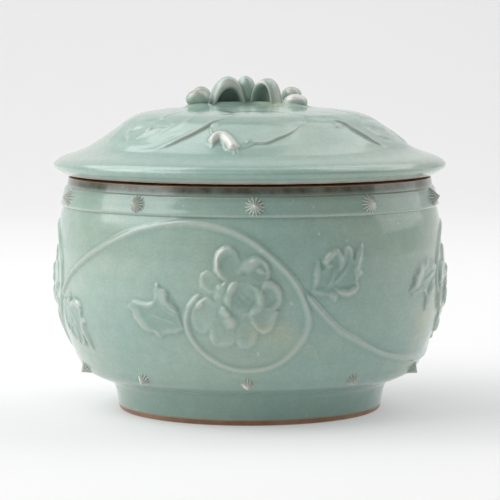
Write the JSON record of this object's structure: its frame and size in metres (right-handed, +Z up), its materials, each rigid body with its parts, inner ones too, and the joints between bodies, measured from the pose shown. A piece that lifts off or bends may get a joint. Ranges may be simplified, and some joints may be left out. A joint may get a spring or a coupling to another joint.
{
  "type": "covered rice bowl",
  "caption": "Round stoneware rice bowl on a foot ring, with studs and a raised flower scroll, and a lift-off domed lid with a bow-shaped knob.",
  "frame": {"origin": "centre of the foot ring's underside, on the bowl's axis, where it rests on a table", "axes": "+Z up along the bowl's axis; -Y is the front, with a peony that the vine arches over; +X to the right"},
  "size_m": [0.1828, 0.1828, 0.1531],
  "materials": {
    "celadon_glaze": "satin pale blue-green glaze, paler where it thins over the relief",
    "foot_glaze_and_biscuit": "the same glaze, stopping just above an unglazed orange-brown edge",
    "biscuit": "matt unglazed stoneware, orange-brown"
  },
  "bodies": {
    "bowl": {"bowl_wall": "celadon_glaze", "foot_ring": "foot_glaze_and_biscuit", "rim_band": "celadon_glaze", "upper_stud_01": "celadon_glaze", "upper_stud_02": "celadon_glaze", "upper_stud_03": "celadon_glaze", "upper_stud_04": "celadon_glaze", "upper_stud_05": "celadon_glaze", "upper_stud_06": "celadon_glaze", "upper_stud_07": "celadon_glaze", "upper_stud_08": "celadon_glaze", "upper_stud_09": "celadon_glaze", "upper_stud_10": "celadon_glaze", "lower_stud_01": "celadon_glaze", "lower_stud_02": "celadon_glaze", "lower_stud_03": "celadon_glaze", "lower_stud_04": "celadon_glaze", "lower_stud_05": "celadon_glaze", "lower_stud_06": "celadon_glaze", "lower_stud_07": "celadon_glaze", "lower_stud_08": "celadon_glaze", "lower_stud_09": "celadon_glaze", "lower_stud_10": "celadon_glaze", "vine_1": "celadon_glaze", "vine_2": "celadon_glaze", "vine_3": "celadon_glaze", "vine_4": "celadon_glaze", "peony_1": "celadon_glaze", "peony_2": "celadon_glaze", "peony_3": "celadon_glaze", "peony_4": "celadon_glaze", "leaf_1_left": "celadon_glaze", "leaf_1_right": "celadon_glaze", "leaf_2_left": "celadon_glaze", "leaf_2_right": "celadon_glaze", "leaf_3_left": "celadon_glaze", "leaf_3_right": "celadon_glaze", "leaf_4_left": "celadon_glaze", "leaf_4_right": "celadon_glaze"},
    "lid_ring": {"lid_locating_flange": "biscuit"},
    "lid": {"lid_shell": "celadon_glaze", "lid_leaf_broad_1": "celadon_glaze", "lid_leaf_broad_2": "celadon_glaze", "lid_leaf_broad_3": "celadon_glaze", "lid_leaf_curled_1": "celadon_glaze", "lid_leaf_curled_2": "celadon_glaze", "lid_leaf_curled_3": "celadon_glaze", "knob_left_loop": "celadon_glaze", "knob_right_loop": "celadon_glaze", "knob_knot": "celadon_glaze", "knob_bud_left_front": "celadon_glaze", "knob_bud_left_back": "celadon_glaze", "knob_bud_right_front": "celadon_glaze", "knob_bud_right_back": "celadon_glaze"}
  },
  "joints": [
    {"name": "lid_lift", "type": "slide", "parent": "bowl", "child": "lid_ring", "axis": [0, 0, 1], "range_m": [0, 0.1]},
    {"name": "lid_turn", "type": "hinge", "parent": "lid_ring", "child": "lid", "pos_m": [0, 0, 0.12], "axis": [0, 0, 1], "continuous": true}
  ]
}
